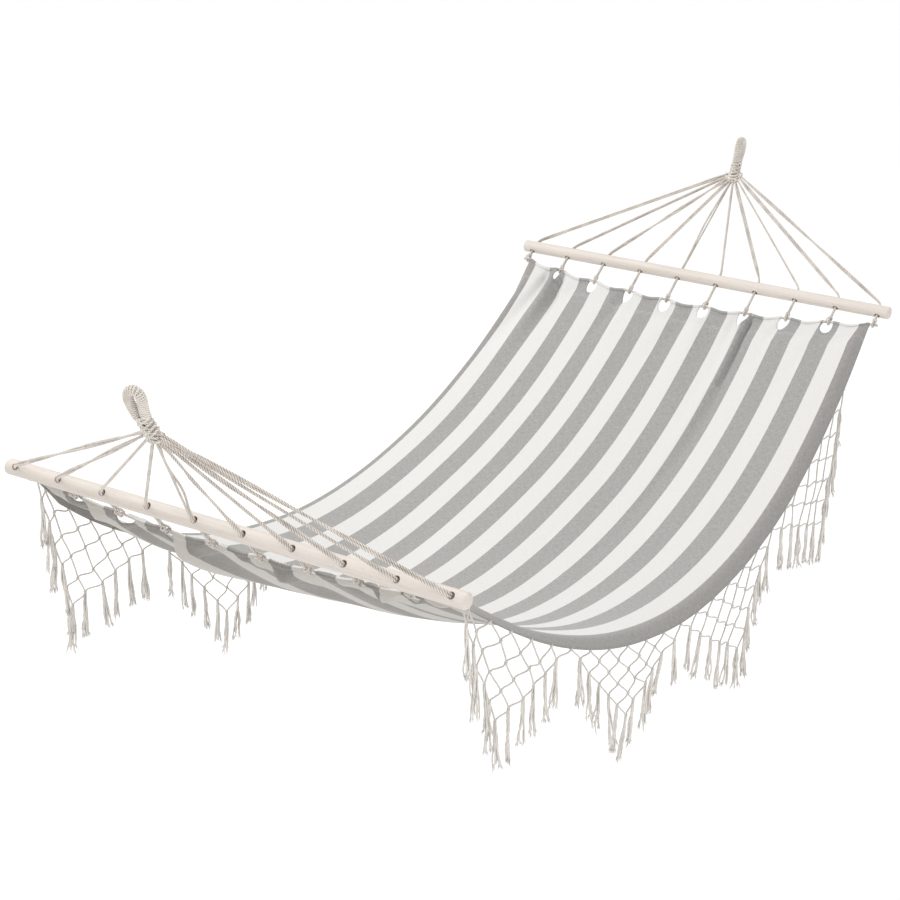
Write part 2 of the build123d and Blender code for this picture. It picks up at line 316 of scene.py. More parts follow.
def map_range(tree, source, from_min, from_max, to_min, to_max):
    """A value stretched from one range to another, and held to it."""
    node = add_node(tree, "ShaderNodeMapRange", {"Value": source})
    limits = (("From Min", from_min), ("From Max", from_max), ("To Min", to_min), ("To Max", to_max))
    for socket, value in limits:
        node.inputs[socket].default_value = value
    return node.outputs[0]


def mixed(tree, factor, first, second, blend="MIX"):
    """Two colours mixed by a factor. An output is linked, and a number or colour is set on the socket."""
    node = add_node(tree, "ShaderNodeMix", data_type="RGBA", blend_type=blend)
    for socket, value in ((0, factor), (6, first), (7, second)):
        if isinstance(value, bpy.types.NodeSocket):
            tree.links.new(value, node.inputs[socket])
        else:
            node.inputs[socket].default_value = value
    return node.outputs[2]


def shader_group(name, inputs, outputs):
    """An empty shader node group with these sockets, and its input and output nodes."""
    tree = bpy.data.node_groups.new(name, "ShaderNodeTree")
    for socket, kind in inputs.items():
        tree.interface.new_socket(socket, in_out="INPUT", socket_type=kind)
    for socket, kind in outputs.items():
        tree.interface.new_socket(socket, in_out="OUTPUT", socket_type=kind)
    return tree, tree.nodes.new("NodeGroupInput"), tree.nodes.new("NodeGroupOutput")


number, colour, vector = "NodeSocketFloat", "NodeSocketColor", "NodeSocketVector"
# Cord colour: the Light colour on the tops of the plies, and the Shade colour, which is painted shade, in the
# grooves between them
twisted_yarn, group_in, group_out = shader_group(
    "twisted_yarn",
    {"Light": colour, "Shade": colour, "UV": vector, "Plies": number, "Lay": number, "Fuzz": number},
    {"Colour": colour, "Height": number},
)
tree = twisted_yarn
uv_parts = add_node(tree, "ShaderNodeSeparateXYZ", {0: group_in.outputs["UV"]})
turns_along = math_node(tree, "DIVIDE", uv_parts.outputs[1], group_in.outputs["Lay"])
turns_round = math_node(tree, "SUBTRACT", uv_parts.outputs[0], turns_along)
phase = math_node(tree, "MULTIPLY", turns_round, group_in.outputs["Plies"])
ply_wave = math_node(tree, "COSINE", math_node(tree, "MULTIPLY", phase, 2 * pi))
ply_top = math_node(tree, "MULTIPLY_ADD", ply_wave, 0.5)
ply_top.node.inputs[2].default_value = 0.5
strand_x = math_node(tree, "MULTIPLY", phase, 3.0)
strand_y = math_node(tree, "MULTIPLY", uv_parts.outputs[1], 260.0)
strand_place = add_node(tree, "ShaderNodeCombineXYZ", {"X": strand_x, "Y": strand_y})
fibres = add_node(
    tree, "ShaderNodeTexNoise", {"Vector": strand_place.outputs[0]}, Scale=1.6, Detail=4.0, Roughness=0.65
)
patches = add_node(
    tree, "ShaderNodeTexNoise",
    {"Vector": add_node(tree, "ShaderNodeTexCoord").outputs["Object"]}, Scale=38.0, Detail=2.0,
)
lit = math_node(tree, "POWER", ply_top, 0.55)
fuzz_wave = math_node(tree, "SUBTRACT", fibres.outputs[0], 0.5)
fuzzed = math_node(tree, "ADD", lit, math_node(tree, "MULTIPLY", fuzz_wave, group_in.outputs["Fuzz"]))
toned = math_node(tree, "ADD", fuzzed, math_node(tree, "SUBTRACT", patches.outputs[0], 0.5))
toned.node.use_clamp = True
# Painted shade: the Shade colour fills the grooves between the plies
yarn_colour = mixed(tree, toned, group_in.outputs["Shade"], group_in.outputs["Light"])
tree.links.new(yarn_colour, group_out.inputs["Colour"])
relief = math_node(tree, "MULTIPLY_ADD", ply_top, 0.6)
tree.links.new(math_node(tree, "MULTIPLY", fibres.outputs[0], 0.4), relief.node.inputs[2])
tree.links.new(relief, group_out.inputs["Height"])


def yarn_material(name, light, shade, plies=3, lay=0.018, fuzz=0.9, bump=0.0006):
    """Cotton cord: pale fibres twisted into plies, with painted shade in the grooves between them."""
    material = bpy.data.materials.new(name)
    material.use_nodes = True
    tree = material.node_tree
    shader = tree.nodes["Principled BSDF"]
    yarn = tree.nodes.new("ShaderNodeGroup")
    yarn.node_tree = twisted_yarn
    for socket, value in (("Light", light), ("Shade", shade), ("Plies", plies), ("Lay", lay), ("Fuzz", fuzz)):
        yarn.inputs[socket].default_value = value
    tree.links.new(add_node(tree, "ShaderNodeTexCoord").outputs["UV"], yarn.inputs["UV"])
    raised = add_node(tree, "ShaderNodeBump", {"Height": yarn.outputs["Height"]}, Strength=0.7, Distance=bump)
    tree.links.new(yarn.outputs["Colour"], shader.inputs["Base Color"])
    tree.links.new(raised.outputs[0], shader.inputs["Normal"])
    shader.inputs["Roughness"].default_value = 0.92
    shader.inputs["Specular IOR Level"].default_value = 0.15
    shader.inputs["Sheen Weight"].default_value = 0.25
    shader.inputs["Sheen Roughness"].default_value = 0.6
    return material


rope_lay = 17 * MM
rope_cotton = yarn_material("rope_cotton", cotton_light, cotton_shade, lay=rope_lay)
# Whole turns that each rope's legs take about each other, at the foot (-1) and head (1), from the left
pair_turns = {-1: (1, 1, 0, 0, 0, 0, 0, 1, 0, 1), 1: (0, 0, 1, 0, 0, 0, 0, 0, 0, 1)}
# The pairs whose legs lie one above the other part of the way
flat_pairs = {-1: (5, 6, 7, 8, 9), 1: (0, 2, 3, 6, 8)}
# Legs that hang a little slack beside their partners: end, rope, how far out in mm, half waves
slack_legs = ((-1, 5, -17, 1), (-1, 5, -4, 5), (-1, 4, -6, 2), (1, 4, 6, 1))

for end_name, end in (("foot", -1), ("head", 1)):
    body = f"{end_name}_end"
    for index in range(hole_count):
        route = rope_route(end, index)
        line = evenly(smooth_line(route), 2.4 * MM)
        other = line[::-1]
        between, apart = (line + other) / 2, (line - other) / 2
        fan_run = (Vector(route[2]) - Vector(route[0])).length
        along = np.concatenate([[0], np.cumsum(np.linalg.norm(np.diff(line, axis=0), axis=1))])
        from_throat = np.minimum(along, along[-1] - along)
        share = np.clip(from_throat / (fan_run - 12 * MM), 0, 1)
        tangent = unit(np.gradient(between, axis=0))
        half = len(line) // 2
        tangent[-half:] = tangent[:half][::-1]
        angle = 2 * pi * pair_turns[end][index] * share
        if index in flat_pairs[end]:
            angle += pi / 2 * np.clip(2.5 * np.sin(pi * share), 0, 1)
        angle[share >= 1] = 0
        side = np.cross(tangent, apart)
        wound = between + apart * np.cos(angle)[:, None] + side * np.sin(angle)[:, None]
        first_leg = np.arange(len(line)) < half
        for slack_end, slack_index, size, bends in slack_legs:
            if (slack_end, slack_index) == (end, index):
                wave = np.sin(pi * share) * np.sin(bends * pi * share) * first_leg
                wound = wound + size * MM * wave[:, None] * unit(np.cross(tangent, [0.0, 0.0, 1.0]))
        laid = laid_cords(wound, rope_thick / 2, lay=rope_lay)
        rope = mesh_piece(f"{end_name}_rope_{index + 1}_laid", [laid], rope_cotton)
        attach(rope, body)
        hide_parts(f"{end_name}_rope_{index + 1}")

# ---- Spreader bars ----
# Two pale planed hardwood rods, 1 m long and 30 mm thick, with ten drilled holes each. The grain runs along
# the bar and shows as soft streaks and short dashes of pores, and each hole's rim is darkened with painted
# shade.
wood_pale = (0.63, 0.58, 0.53, 1.0)
wood_streak = (0.51, 0.45, 0.395, 1.0)
# Painted shade colour for the ring round each hole's mouth
hole_rim_painted_shade = (0.30, 0.23, 0.18, 1.0)
wood_pores = (0.80, 0.74, 0.68, 1.0)


def wood_material(name, bar_middle, end):
    """Grain along Y, and a ring of painted shade round each hole's mouth."""
    material = bpy.data.materials.new(name)
    material.use_nodes = True
    tree = material.node_tree
    shader = tree.nodes["Principled BSDF"]
    place = add_node(tree, "ShaderNodeTexCoord").outputs["Object"]
    own = add_node(tree, "ShaderNodeMapping", {"Vector": place}, vector_type="POINT")
    own.inputs["Location"].default_value = -bar_middle
    stretched = add_node(tree, "ShaderNodeMapping", {"Vector": own.outputs[0]})
    stretched.inputs["Scale"].default_value = (1.0, 0.035, 1.0)
    grain = add_node(
        tree, "ShaderNodeTexNoise", {"Vector": stretched.outputs[0]}, Scale=260.0, Detail=6.0, Roughness=0.6
    )
    bands = add_node(
        tree, "ShaderNodeTexNoise", {"Vector": stretched.outputs[0]}, Scale=60.0, Detail=2.0, Distortion=0.6
    )
    pores = add_node(tree, "ShaderNodeMapping", {"Vector": own.outputs[0]})
    pores.inputs["Scale"].default_value = (1.0, 0.12, 1.0)
    pore_noise = add_node(tree, "ShaderNodeTexNoise", {"Vector": pores.outputs[0]}, Scale=620.0, Detail=1.0)
    pore_mask = math_node(tree, "GREATER_THAN", pore_noise.outputs[0], 0.69)
    streaks = mixed(tree, map_range(tree, bands.outputs[0], 0.42, 0.75, 0.0, 0.55), wood_pale, wood_streak)
    grained = add_node(tree, "ShaderNodeVectorMath", {0: streaks}, operation="SCALE")
    tree.links.new(map_range(tree, grain.outputs[0], 0.3, 0.7, 0.93, 1.04), grained.inputs["Scale"])
    parts = add_node(tree, "ShaderNodeSeparateXYZ", {0: own.outputs[0]})
    above_hole = add_node(tree, "ShaderNodeVectorMath", {0: own.outputs[0]}, operation="DOT_PRODUCT")
    above_hole.inputs[1].default_value = slope_directions(end)[1]
    along_bar = math_node(tree, "ADD", parts.outputs[1], hole_pitch * hole_count / 2)
    share_of_pitch = math_node(tree, "FRACT", math_node(tree, "DIVIDE", along_bar, hole_pitch))
    in_pitch = math_node(tree, "MULTIPLY", share_of_pitch, hole_pitch)
    from_hole = math_node(tree, "SUBTRACT", in_pitch, hole_pitch / 2)
    squares = math_node(
        tree, "ADD", math_node(tree, "POWER", math_node(tree, "ABSOLUTE", from_hole), 2.0),
        math_node(tree, "POWER", math_node(tree, "ABSOLUTE", above_hole.outputs["Value"]), 2.0),
    )
    # Painted shade: a dark ring round the mouth of each hole, mixed over the grain
    rim = map_range(tree, math_node(tree, "SQRT", squares), 6.6 * MM, 7.9 * MM, 0.6, 0.0)
    grain_with_painted_rim_shade = mixed(tree, rim, grained.outputs[0], hole_rim_painted_shade)
    pore_share = math_node(tree, "MULTIPLY", pore_mask, 0.5)
    tree.links.new(mixed(tree, pore_share, grain_with_painted_rim_shade, wood_pores, "MULTIPLY"), shader.inputs["Base Color"])
    relief = math_node(tree, "SUBTRACT", math_node(tree, "MULTIPLY", grain.outputs[0], 0.5), pore_share)
    raised = add_node(tree, "ShaderNodeBump", {"Height": relief}, Strength=0.35, Distance=0.0003)
    tree.links.new(raised.outputs[0], shader.inputs["Normal"])
    tree.links.new(map_range(tree, grain.outputs[0], 0.0, 1.0, 0.5, 0.72), shader.inputs["Roughness"])
    shader.inputs["Specular IOR Level"].default_value = 0.35
    return material


for (end_name, end), bar_middle in zip((("foot", -1), ("head", 1)), bar_middles):
    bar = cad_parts[f"{end_name}_spreader_bar"]
    bar.data.materials.clear()
    bar.data.materials.append(wood_material(f"{end_name}_bar_wood", bar_middle, end))

# ---- Eyes and throats ----
# All the strands of one end are bundled, turned over into a loop and whipped closely with cotton cord.
# Under the loop they are bound with crossed turns of rope, and the ten doubled ropes fan out from there.
eye_lean = radians(22)
serving_cord_radius = 1.95 * MM
serving_turn_radius = 7.5 * MM
serving_pitch = 3.9 * MM
# Half the loop: across from its middle line and up from the throat
eye_half = ((3.5, 4), (6.5, 20), (8.6, 38), (10.6, 51), (13.4, 64), (13.2, 78), (7.2, 90))
# The second colour of each cord is painted shade for the grooves between its plies
serving_cotton = yarn_material("serving_cotton", (0.77, 0.73, 0.675, 1), (0.38, 0.335, 0.29, 1), lay=11 * MM)
bundle_cotton = yarn_material("bundle_cotton", (0.73, 0.69, 0.635, 1), (0.30, 0.26, 0.22, 1), lay=rope_lay)
whipped_above = 30              # millimetres over the throat
# Turns round the neck: height above the throat, tilt in degrees, half width and half depth
neck_turns = (
    (-8, 10, 12, 11.5), (-2, 38, 12, 11.8), (1, -40, 12.5, 11.2), (7, 42, 12.3, 11.6),
    (9, -42, 12.5, 10.8), (15, 40, 12.4, 11), (18, -40, 12.4, 10.4), (24, 38, 12.6, 10.6),
    (28, -36, 12.8, 10.2), (33, 26, 13.4, 10), (37, -12, 14.4, 9.8),
)


def eye_directions(end):
    """Across and up in the loop's plane. The foot's lies nearly across the hammock, the head's along it."""
    up = Vector((end * sin(eye_lean), 0, cos(eye_lean)))
    across = Vector((0, 1, 0)) if end < 0 else Vector((cos(eye_lean), 0, -sin(eye_lean)))
    if end < 0:
        across.rotate(Quaternion(up, radians(6)))
    return across, up


def eye_slump(end, rise):
    """How far the foot's loop has slumped over to the left, at a height in millimetres above the throat."""
    return 12 * MM * sin(pi * rise / 115) if end < 0 and rise > 0 else 0.0


def wound_round(line, radius, pitch, points_a_turn=14):
    """A helix round a line of points."""
    length = np.linalg.norm(np.diff(line, axis=0), axis=1).sum()
    fine = evenly(line, pitch / points_a_turn)
    _, across, over = carried_frames(fine[None])
    angle = 2 * pi * np.linspace(0, length / pitch, len(fine))
    return fine + radius * (np.cos(angle)[:, None] * across[0] + np.sin(angle)[:, None] * over[0])


draw = np.random.default_rng(7)
for end_name, end in (("foot", -1), ("head", 1)):
    across, up = eye_directions(end)
    through = across.cross(up)
    throat = at(end * throat_x, 0, throat_z)
    leans = [eye_slump(end, y) for _, y in eye_half]
    half = [throat + across * (x * MM + lean) + up * (y * MM) for (x, y), lean in zip(eye_half, leans)]
    mirrored = [throat - across * (x * MM - lean) + up * (y * MM) for (x, y), lean in zip(eye_half, leans)]
    loop = evenly(smooth_line(half + mirrored[::-1]), 2 * MM)
    height = (loop - np.array(throat)) @ np.array(up)

    strands = []
    _, loop_across, loop_over = (part[0] for part in carried_frames(loop[None]))
    for ring_radius, ring_count in ((0.0, 1), (3.1 * MM, 5), (5.4 * MM, 10)):
        for number_in_ring in range(ring_count):
            angle = 2 * pi * (number_in_ring + 0.3) / ring_count + np.linspace(0, 2.2, len(loop))
            outwards = np.cos(angle)[:, None] * loop_across + np.sin(angle)[:, None] * loop_over
            strands.append(loop + ring_radius * outwards)
    bundle = mesh_piece(f"{end_name}_eye_strands", [laid_cords(strands, 1.7 * MM, sides=7)], bundle_cotton)
    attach(bundle, "eyes")
    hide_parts(f"{end_name}_eye")

    served = loop[height > whipped_above * MM]
    winding = wound_round(served, serving_turn_radius, serving_pitch)
    winding += draw.normal(0, 0.05 * MM, winding.shape)
    whipping = laid_cords(winding, serving_cord_radius, sides=8, plies=2, lay=11 * MM, groove=0.15)
    serving = mesh_piece(f"{end_name}_eye_whipping", [whipping], serving_cotton)
    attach(serving, "eyes")
    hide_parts(f"{end_name}_eye_serving")

    # Crossed turns: ovals round the neck, tilted one way and the other
    groups = []
    turn = np.linspace(0, 2 * pi, 49)
    for rise, tilt, wide, deep in neck_turns:
        lift = np.tan(radians(tilt)) * np.cos(turn) * wide * MM + rise * MM
        oval = (
            np.array(throat) + np.cos(turn)[:, None] * wide * MM * np.array(across)
            + np.sin(turn)[:, None] * deep * MM * np.array(through) + lift[:, None] * np.array(up)
            + eye_slump(end, rise) * np.array(across)
        )
        oval += 0.4 * MM * np.sin(turn * 3 + rise)[:, None] * np.array(through)
        groups.append(laid_cords(oval, 2.6 * MM, sides=9, lay=rope_lay))
    # The strands of every rope, from where it leaves up into the two legs of the loop
    for index in range(hole_count):
        start = Vector(rope_route(end, index)[0])
        leg = 1 if (hole_y(index) > 0) == (end < 0) or (end > 0 and index % 2) else -1
        outwards = (start - throat).normalized()
        for _ in range(2):
            inside = Vector(draw.normal(0, 3.2 * MM, 3))
            top = throat + across * (leg * 7.5 * MM + eye_slump(end, 24)) + up * 24 * MM
            path = smooth_line([
                start + outwards * 5 * MM + inside * 0.3,
                throat + outwards * 9 * MM + inside,
                throat + inside + up * 5 * MM,
                throat + inside * 0.8 + up * 14 * MM + across * leg * 4 * MM,
                top + Vector(draw.normal(0, 2.2 * MM, 3)),
            ])
            groups.append(laid_cords(evenly(path, 2.0 * MM), 2.3 * MM, sides=8, lay=rope_lay))
    binding = mesh_piece(f"{end_name}_throat_turns", groups, bundle_cotton)
    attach(binding, "eyes")
    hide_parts(f"{end_name}_throat_binding")

# ---- Hem ropes and hitches ----
# A 6 mm rope lies in the sleeve of each end hem and shows in the notches. Each doubled rope goes round it,
# and two turns of thinner cotton cord draw the legs together just above, with one end left hanging.
hem_rope_end = 484 * MM
scallop_depth = 8 * MM          # how much lower the hem hangs between two ropes
outer_hole = 4.5 * hole_pitch
# The second colour of each cord is painted shade for the grooves between its plies
bolt_cotton = yarn_material("hem_rope_cotton", cotton_light, cotton_shade, lay=20 * MM)
knot_cotton = yarn_material("hitch_cotton", (0.69, 0.65, 0.605, 1), (0.34, 0.295, 0.26, 1), lay=9 * MM)

for end_name, end in (("foot", -1), ("head", 1)):
    down, normal = slope_directions(end)
    bar = at(end * bar_x, 0, 0)
    arc = []
    for y in np.linspace(-hem_rope_end, hem_rope_end, 75):
        lower = scallop_depth * (0.5 + 0.5 * cos(2 * pi * y / hole_pitch)) * (abs(y) < outer_hole)
        arc.append(bar + down * (hem_gap(min(abs(y), half_width_end)) + lower) + Vector((0, y, 0)))
    arc = smooth_line(arc)
    if end < 0:
        arc[:, 2] -= foot_sag(arc[:, 0] - middle.x, arc[:, 1])
        arc[:, 0] -= foot_tuck(arc[:, 0] - middle.x, arc[:, 1])
    bolt_rope = laid_cords(evenly(arc, 2.5 * MM), bolt_rope_thick / 2, sides=12, lay=20 * MM)
    hem_rope = mesh_piece(f"{end_name}_hem_rope", [bolt_rope], bolt_cotton)
    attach(hem_rope, f"{end_name}_end")
    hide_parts(f"{end_name}_bolt_rope")

    groups = []
    turn = np.linspace(0, 2 * pi, 33)
    for index in range(hole_count):
        y = hole_y(index)
        centre = np.array(bar + down * hem_gap(y) + Vector((0, y, 0)))
        if end < 0:
            centre[2] -= foot_sag(centre[0] - middle.x, y)
            centre[0] -= foot_tuck(centre[0] - middle.x, y)
        for back, wide, deep, tilt in ((13.6, 5.2, 3.9, 0.25), (10.9, 5.8, 4.1, -0.3)):
            uneven = draw.normal(0, 0.35, 2)
            ring = (
                centre - np.array(down) * (back + uneven[0]) * MM
                + np.cos(turn)[:, None] * wide * MM * np.array(normal)
                + np.sin(turn)[:, None] * deep * MM * np.array((0, 1, 0))
                + (np.cos(turn + uneven[1]) * wide * tilt * MM)[:, None] * np.array(down)
            )
            groups.append(laid_cords(ring, 1.6 * MM, sides=8, plies=2, lay=9 * MM, groove=0.18))
        side = draw.choice((-1, 1))
        tail = smooth_line([
            Vector(centre) - down * 12 * MM + normal * 5 * MM,
            Vector(centre) - down * 9 * MM + normal * 6 * MM + Vector((0, side * 4 * MM, 0)),
            Vector(centre) - down * 4 * MM + normal * 4.5 * MM + Vector((0, side * 6 * MM, 0)),
            Vector(centre) + down * 1 * MM + normal * 4 * MM + Vector((0, side * 7 * MM, 0)),
        ])
        groups.append(laid_cords(evenly(tail, 1.5 * MM), 1.4 * MM, sides=8, plies=2, lay=9 * MM, groove=0.18))
    knots = mesh_piece(f"{end_name}_hitches", groups, knot_cotton)
    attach(knots, f"{end_name}_end")
    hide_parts(f"{end_name}_hitch_knots")

# ---- Bed cloth ----
# One piece of plain-woven cotton, 1.0 m by 2.0 m, with 21 lengthwise stripes, grey at both edges. Its sides
# are hemmed. Each end is turned over the hem's rope and sewn, with a teardrop cut at all but the outer ropes.
stripe_count = 21
straight_end = 150 * MM
hem_depth, side_hem = 60 * MM, 45 * MM
sleeve_radius = 4.4 * MM
cloth_half, doubled_half = 0.5 * MM, 0.95 * MM
notch_half_width, notch_half_depth, notch_centre = 13.5 * MM, 28 * MM, 10 * MM
catenary_x = bar_x - straight_end * cos(end_slope)
catenary_a = catenary_x / asinh(tan(end_slope))
catenary_s = catenary_a * tan(end_slope)
sag = catenary_a * (1 / cos(end_slope) - 1) + straight_end * sin(end_slope)
bar_s = catenary_s + straight_end
fold_u = 0.465                  # where the side hems turn down
turned_width, turned_drop = 17 * MM, 27 * MM


def hang(s):
    """The hanging cloth's profile at lengths s from its middle: x, z and slope angle."""
    s = np.asarray(s, float)
    run, sign = np.abs(s) - catenary_s, np.sign(s)
    curved_x = catenary_a * np.arcsinh(s / catenary_a)
    curved_z = catenary_a * (np.cosh(curved_x / catenary_a) - 1) - sag
    straight_x = sign * (catenary_x + run * cos(end_slope))
    straight_z = -(straight_end - run) * sin(end_slope)
    at_end = run > 0
    angle = np.where(at_end, sign * end_slope, np.arctan2(s, catenary_a))
    return np.where(at_end, straight_x, curved_x), np.where(at_end, straight_z, curved_z), angle


def half_width_at(s):
    """The cloth is a little narrower at its hems than in the middle of the sag."""
    bow = half_width_mid - half_width_end
    return half_width_mid - bow * (hang(s)[0] / (bar_x - hem_gap_side * cos(end_slope))) ** 2


def hem_u(y):
    """Where a place across the hem is in the flat cloth."""
    return y * fold_u / (half_width_end - 0.5 * turned_width)


def hem_s(u):
    """Length from the middle to the hem's rope on the line at u across the cloth."""
    return bar_s - hem_gap(np.clip(np.asarray(u) / hem_u(1.0), -half_width_end, half_width_end))


def edge_bumps(values, centre, width):
    return np.exp(-(((values - centre) / width) ** 2))


# Folds: the end (-1 foot, 1 head), the start across the cloth, the lean, and the length, depth and width
fold_list = [
    (1, -0.184, 0.0, 0.60, -13.0, 5.0), (1, -0.172, 0.0, 0.50, 5.0, 6.5),
    (1, 0.380, 0.06, 0.22, 13.0, 8.0), (1, 0.360, 0.02, 0.20, -15.0, 7.0), (1, 0.408, 0.12, 0.22, -13.0, 8.0),
    (-1, 0.34, 0.10, 0.30, -13.0, 17.0), (-1, 0.24, -0.20, 0.34, 12.0, 19.0),
    (-1, 0.13, 0.16, 0.30, -14.0, 16.0), (-1, 0.03, -0.16, 0.36, 11.0, 18.0),
    (-1, -0.09, 0.22, 0.30, -13.0, 17.0), (-1, -0.20, -0.18, 0.30, 10.0, 16.0),
    (-1, -0.31, 0.12, 0.26, -10.0, 15.0),
]
for end in (-1, 1):
    for index in range(1, hole_count - 1):
        for _ in range(4):
            fold_list.append((
                end, hem_u(hole_y(index)) + draw.normal(0, 0.012), draw.normal(0, 0.28),
                draw.uniform(0.08, 0.26), draw.uniform(-5.5, 4.0), draw.uniform(8, 15),
            ))


def cloth_points(u, s):
    """Where the flat cloth's points hang: u is from -0.5 to 0.5 across it, s the length from its middle."""
    x, z, angle = hang(s)
    from_rope = hem_s(u) - np.abs(s)
    # The last 35 mm of each side turns down, the left from the cloth's level and the right from a ridge
    turned = np.clip((np.abs(u) - fold_u) / (0.5 - fold_u), 0, 1)
    free = np.clip(from_rope / 0.08, 0, 1)
    ledge = turned_width * (0.55 + 0.45 * free) * np.where(u > 0, 1.0, 1.15)
    half = half_width_at(s)
    y = np.sign(u) * (np.minimum(np.abs(u) / fold_u, 1) * (half - ledge) + turned * ledge)
    ridge = np.clip((np.abs(u) - 0.12) / (fold_u - 0.12), 0, 1)
    ridge = ridge**2 * (3 - 2 * ridge) * (1 - turned)
    edge_drop = turned_drop * free * np.where(u > 0, turned, -0.75 * ridge)
    # The hem hangs a little lower between the ropes that hold it up
    between = 0.5 - 0.5 * np.cos(2 * pi * (y / hole_pitch - 0.5))
    scallop = scallop_depth * between * (np.abs(y) < outer_hole)
    along_slope = np.sign(s) * scallop * np.exp(-np.maximum(from_rope, 0) / 0.05)
    x = x - along_slope * cos(end_slope)
    z = z - np.abs(along_slope) * sin(end_slope)
    lift = np.zeros_like(s)
    for end in (-1, 1):
        near = (s * end > 0) * np.clip(from_rope / 0.012, 0.08, 1)
        between = 0.5 - 0.5 * np.cos(2 * pi * (y / hole_pitch))
        inner = 1 - edge_bumps(np.abs(u), 0.5, 0.03)
        depth = (13 if end < 0 else 4.5) * MM
        lift -= near * depth * (1 - between) * np.exp(-from_rope / 0.11) * inner
        for fold_end, start, lean, reach, size, width in fold_list:
            if fold_end == end:
                line = start + lean * from_rope
                down_bed = np.maximum(from_rope, 0) / reach
                spread = width * MM * (1 + 2.2 * down_bed)
                fade = np.exp(-(down_bed**2)) * np.clip((from_rope + 0.004) / 0.03, 0, 1)
                strength = 1.5 if end < 0 else 1.3
                lift += (s * end > 0) * strength * size * MM * edge_bumps(u - line, 0, spread) * fade
    rough = np.array([
        3.4 * noise.noise(Vector((a * 5.0, b * 2.6, 3.0)))
        + 1.3 * noise.noise(Vector((a * 13.0, b * 5.0, 9.0)))
        for a, b in zip(u, s)
    ]) * MM
    lift += rough * np.clip(from_rope / 0.05, 0, 1)
    drop = foot_sag(x, y) + edge_drop
    normal_x, normal_z = -np.sin(angle), np.cos(angle)
    x = x - foot_tuck(x, y)
    x, z = x + lift * normal_x, z - drop + lift * normal_z
    return np.stack([middle.x + x, middle.y + y, middle.z + z], 1)


def notch_outline(end, index):
    """The teardrop's points in the flat cloth, from its left lip round to its right one."""
    y = hole_y(index)
    centre_u = hem_u(y)
    edge = -sleeve_radius
    lip = acos((edge - notch_centre) / notch_half_depth)
    points = []
    for angle in np.linspace(-lip, lip, 15):
        out = notch_centre + notch_half_depth * cos(angle)
        across = -notch_half_width * sin(angle)
        narrow = 1 - 0.25 * max(0, -out / 20 / MM)
        if (end, index) == (1, 1):      # this one has fallen shut
            narrow *= 0.3
        u = centre_u - hem_u(across * narrow)
        points.append((u, end * (float(hem_s(u)) - out)))
    return points


def cloth_outline():
    """The flat cloth's whole edge in order, as points (u, s)."""
    points = []
    for end in (-1, 1):
        row = []
        order = range(hole_count - 2, 0, -1)
        stops = [-0.5] + [hem_u(hole_y(index)) for index in order] + [0.5]
        lip_u = hem_u(notch_half_width * sqrt(1 - ((sleeve_radius + notch_centre) / notch_half_depth) ** 2))
        for place, index in enumerate([*order, None]):
            begin = stops[place] + (lip_u if place else 0)
            stop = stops[place + 1] - (lip_u if index is not None else 0)
            count = max(2, int((stop - begin) / 0.005))
            for u in np.linspace(begin, stop, count, endpoint=index is None)[1 if place else 0:]:
                row.append((u, end * (float(hem_s(u)) + sleeve_radius)))
            if index is not None:
                row += notch_outline(end, index)
        points.append(row)
    foot_row, head_row = points
    corner = float(hem_s(0.5)) + sleeve_radius
    along = np.linspace(-corner, corner, 330)[1:-1]
    right = [(-0.5, s) for s in along]
    left = [(0.5, s) for s in along[::-1]]
    return foot_row + left[::-1] + head_row[::-1] + right[::-1]


outline = cloth_outline()
inside = []
sleeve_rows = [0.5, 1.2, 2.2, 3.3, 4.4, 5.5, 6.6, 7.6, 8.3, 8.8, 9.6]
hem_rows = [14 + 6 * step for step in range(36)]
rows = sorted({round(row * MM, 5) for row in sleeve_rows + hem_rows})
us_fine = np.linspace(-0.5, 0.5, 181)[1:-1]
notch_room = 1.2 * MM           # kept clear of inner points round each notch
for end in (-1, 1):
    for row in rows:
        for u in us_fine:
            out = sleeve_radius - row
            nearest = round(((hole_count - 1) / 2) - u / hem_u(hole_pitch))
            clear = True
            if 1 <= nearest <= hole_count - 2:
                across = (u - hem_u(hole_y(nearest))) / hem_u(1.0)
                clear = hypot(
                    across / (notch_half_width + notch_room),
                    (-out - notch_centre) / (notch_half_depth + notch_room),
                ) > 1
            if clear:
                inside.append((u, end * (float(hem_s(u)) + out)))
last_row = rows[-1] - sleeve_radius
us_wide = np.linspace(-0.5, 0.5, 97)[1:-1]
for share in np.linspace(-1, 1, 152)[1:-1]:
    for u in us_wide:
        inside.append((u, share * (float(hem_s(u)) - last_row)))
flat_points = [Vector(point) for point in outline + inside]
edges = [(step, (step + 1) % len(outline)) for step in range(len(outline))]
made = geometry.delaunay_2d_cdt(flat_points, edges, [], 1, 1e-7)
flat, triangles = np.array([tuple(point) for point in made[0]]), np.array(made[2])
flat_u, flat_s = flat[:, 0], flat[:, 1]
surface = cloth_points(flat_u, flat_s)
first, second, third = (flat[triangles[:, corner]] for corner in range(3))
facing = np.cross(second - first, third - first)
triangles = np.where((facing < 0)[:, None], triangles, triangles[:, ::-1])
first, second, third = (surface[triangles[:, corner]] for corner in range(3))
triangle_normals = np.cross(second - first, third - first)
point_normals = np.zeros_like(surface)
for corner in range(3):
    np.add.at(point_normals, triangles[:, corner], triangle_normals)
point_normals = unit(point_normals)
if point_normals[:, 2].mean() < 0:
    triangles, point_normals = triangles[:, ::-1], -point_normals

